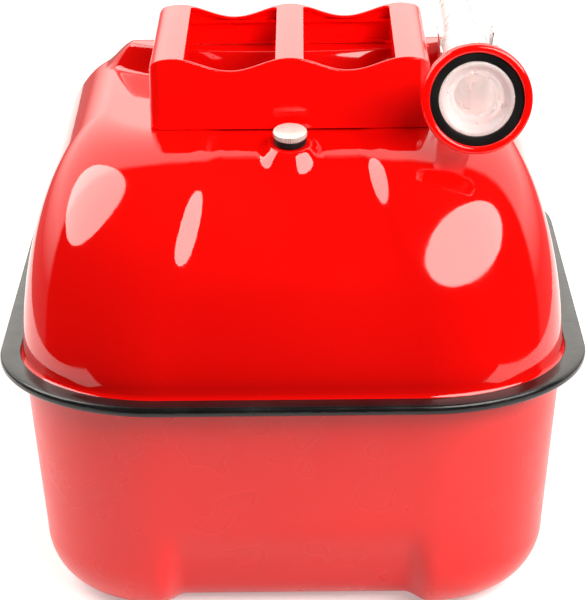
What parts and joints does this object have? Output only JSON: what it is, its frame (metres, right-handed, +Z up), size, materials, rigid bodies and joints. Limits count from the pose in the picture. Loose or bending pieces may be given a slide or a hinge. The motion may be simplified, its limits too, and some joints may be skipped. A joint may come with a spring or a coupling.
{
  "type": "fuel can",
  "caption": "Lying sheet steel fuel can with a rim trim at half height, pressed handle, vent screw, filler cap and a pouring spout clipped beside the handle.",
  "frame": {"origin": "centre of the footprint over the rim trim, on the floor", "axes": "+Z up, +Y along the can's length from the vent screw's end to the filler's end, +X to the right as seen from the vent screw's end"},
  "size_m": [0.3, 0.36, 0.2902],
  "materials": {
    "red_paint": "gloss enamel",
    "black_trim": "smooth extruded",
    "black_gasket": "matt moulded",
    "zinc_plate": "satin zinc plated",
    "spring_steel": "bright rolled",
    "white_plastic": "satin translucent"
  },
  "bodies": {
    "can": {"lower_shell": "red_paint", "upper_shell": "red_paint", "edge_trim": "black_trim", "handle": "red_paint", "vent_bush": "zinc_plate", "neck_collar": "red_paint", "filler_neck": "red_paint", "clip_bracket_front": "red_paint", "clip_bracket_rear": "red_paint", "spring_clip_front": "spring_steel", "spring_clip_rear": "spring_steel", "clip_rivet_front": "zinc_plate", "clip_rivet_rear": "zinc_plate"},
    "vent_seal": {"vent_washer": "black_gasket"},
    "vent_knob": {"vent_screw": "zinc_plate", "vent_circlip": "spring_steel"},
    "cap_seal": {"cap_gasket": "black_gasket"},
    "cap": {"filler_cap": "red_paint"},
    "spout": {"spout_base": "white_plastic", "spout_tube": "white_plastic", "spout_gasket": "black_gasket"},
    "spout_nut": {"spout_ring_nut": "red_paint"}
  },
  "joints": [
    {"name": "vent_travel", "type": "slide", "parent": "can", "child": "vent_seal", "axis": [0, -0.2028, 0.9792], "range_m": [0, 0.0063]},
    {"name": "vent_turn", "type": "hinge", "parent": "vent_seal", "child": "vent_knob", "pos_m": [0, -0.1, 0.2352], "axis": [0, -0.2028, 0.9792], "range_deg": [0, 1800]},
    {"name": "cap_travel", "type": "slide", "parent": "can", "child": "cap_seal", "axis": [0, 0.6157, 0.788], "range_m": [0, 0.0151]},
    {"name": "cap_turn", "type": "hinge", "parent": "cap_seal", "child": "cap", "pos_m": [0, 0.095, 0.21294], "axis": [0, 0.6157, 0.788], "range_deg": [0, 1080]},
    {"name": "spout_lift", "type": "slide", "parent": "can", "child": "spout", "axis": [0, 0, 1], "range_m": [0, 0.06]},
    {"name": "spout_nut_turn", "type": "hinge", "parent": "spout", "child": "spout_nut", "pos_m": [0.0912, -0.125, 0.26354], "axis": [0, 0.9925, -0.1219], "continuous": true}
  ],
  "couplings": [
    {"joint": "vent_travel", "follows": "vent_turn", "m_per_rad": 0.00019894},
    {"joint": "cap_travel", "follows": "cap_turn", "m_per_rad": 0.00079577}
  ]
}
